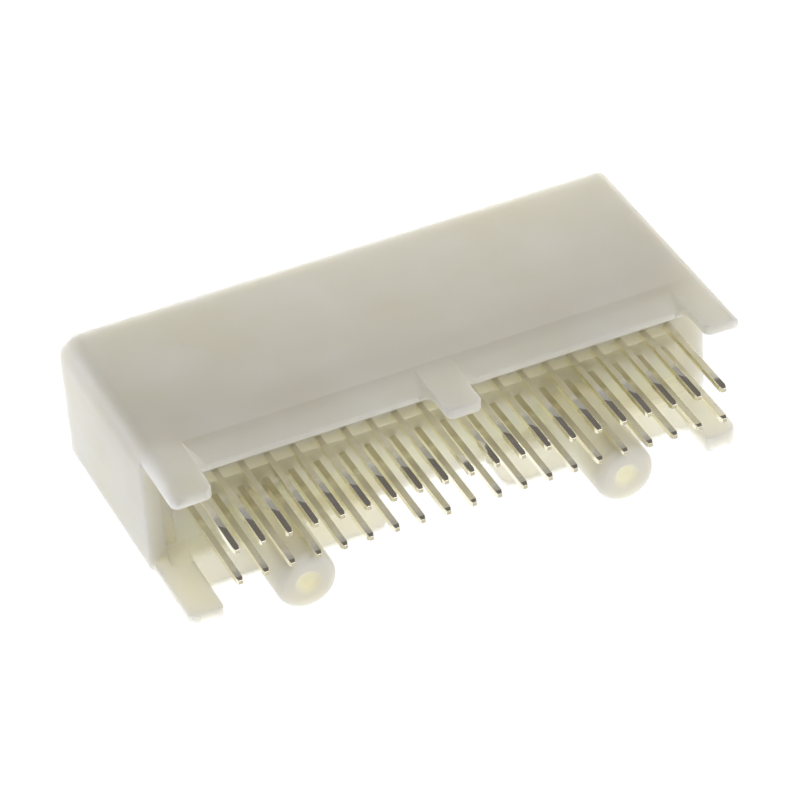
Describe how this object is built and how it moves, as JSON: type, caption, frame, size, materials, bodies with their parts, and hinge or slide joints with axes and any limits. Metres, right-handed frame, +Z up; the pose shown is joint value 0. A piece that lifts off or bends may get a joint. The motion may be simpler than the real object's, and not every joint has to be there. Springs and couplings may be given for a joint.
{
  "type": "automotive connector",
  "caption": "Through-board pin header for a vehicle wiring plug: an oblong moulded shroud with rows of square pins, locating pegs, and feet and tabs at the board side.",
  "frame": {"origin": "middle of the lower long side that the housing lies on, midway between the pin tips and the mating rim", "axes": "+X along the pin rows, +Y the way the plug leaves the shroud, +Z up from the long side it lies on; the circuit board's face is the plane Y = -10.875 mm"},
  "size_m": [0.0492, 0.0282, 0.0117],
  "materials": {
    "housing": "satin, slightly translucent, natural nylon",
    "pins": "satin tin-plated brass, pale"
  },
  "bodies": {
    "root": {"housing": "housing", "lower_pin_01": "pins", "lower_pin_02": "pins", "lower_pin_03": "pins", "lower_pin_04": "pins", "lower_pin_05": "pins", "lower_pin_06": "pins", "lower_pin_07": "pins", "lower_pin_08": "pins", "lower_pin_09": "pins", "lower_pin_10": "pins", "lower_pin_11": "pins", "lower_pin_12": "pins", "lower_pin_13": "pins", "lower_pin_14": "pins", "lower_pin_15": "pins", "lower_pin_16": "pins", "lower_pin_17": "pins", "lower_pin_18": "pins", "lower_pin_19": "pins", "lower_pin_20": "pins", "upper_pin_01": "pins", "upper_pin_02": "pins", "upper_pin_03": "pins", "upper_pin_04": "pins", "upper_pin_05": "pins", "upper_pin_06": "pins", "upper_pin_07": "pins", "upper_pin_08": "pins", "upper_pin_09": "pins", "upper_pin_10": "pins", "upper_pin_11": "pins", "upper_pin_12": "pins", "upper_pin_13": "pins", "upper_pin_14": "pins", "upper_pin_15": "pins", "upper_pin_16": "pins", "upper_pin_17": "pins", "upper_pin_18": "pins", "upper_pin_19": "pins", "upper_pin_20": "pins"}
  },
  "joints": []
}
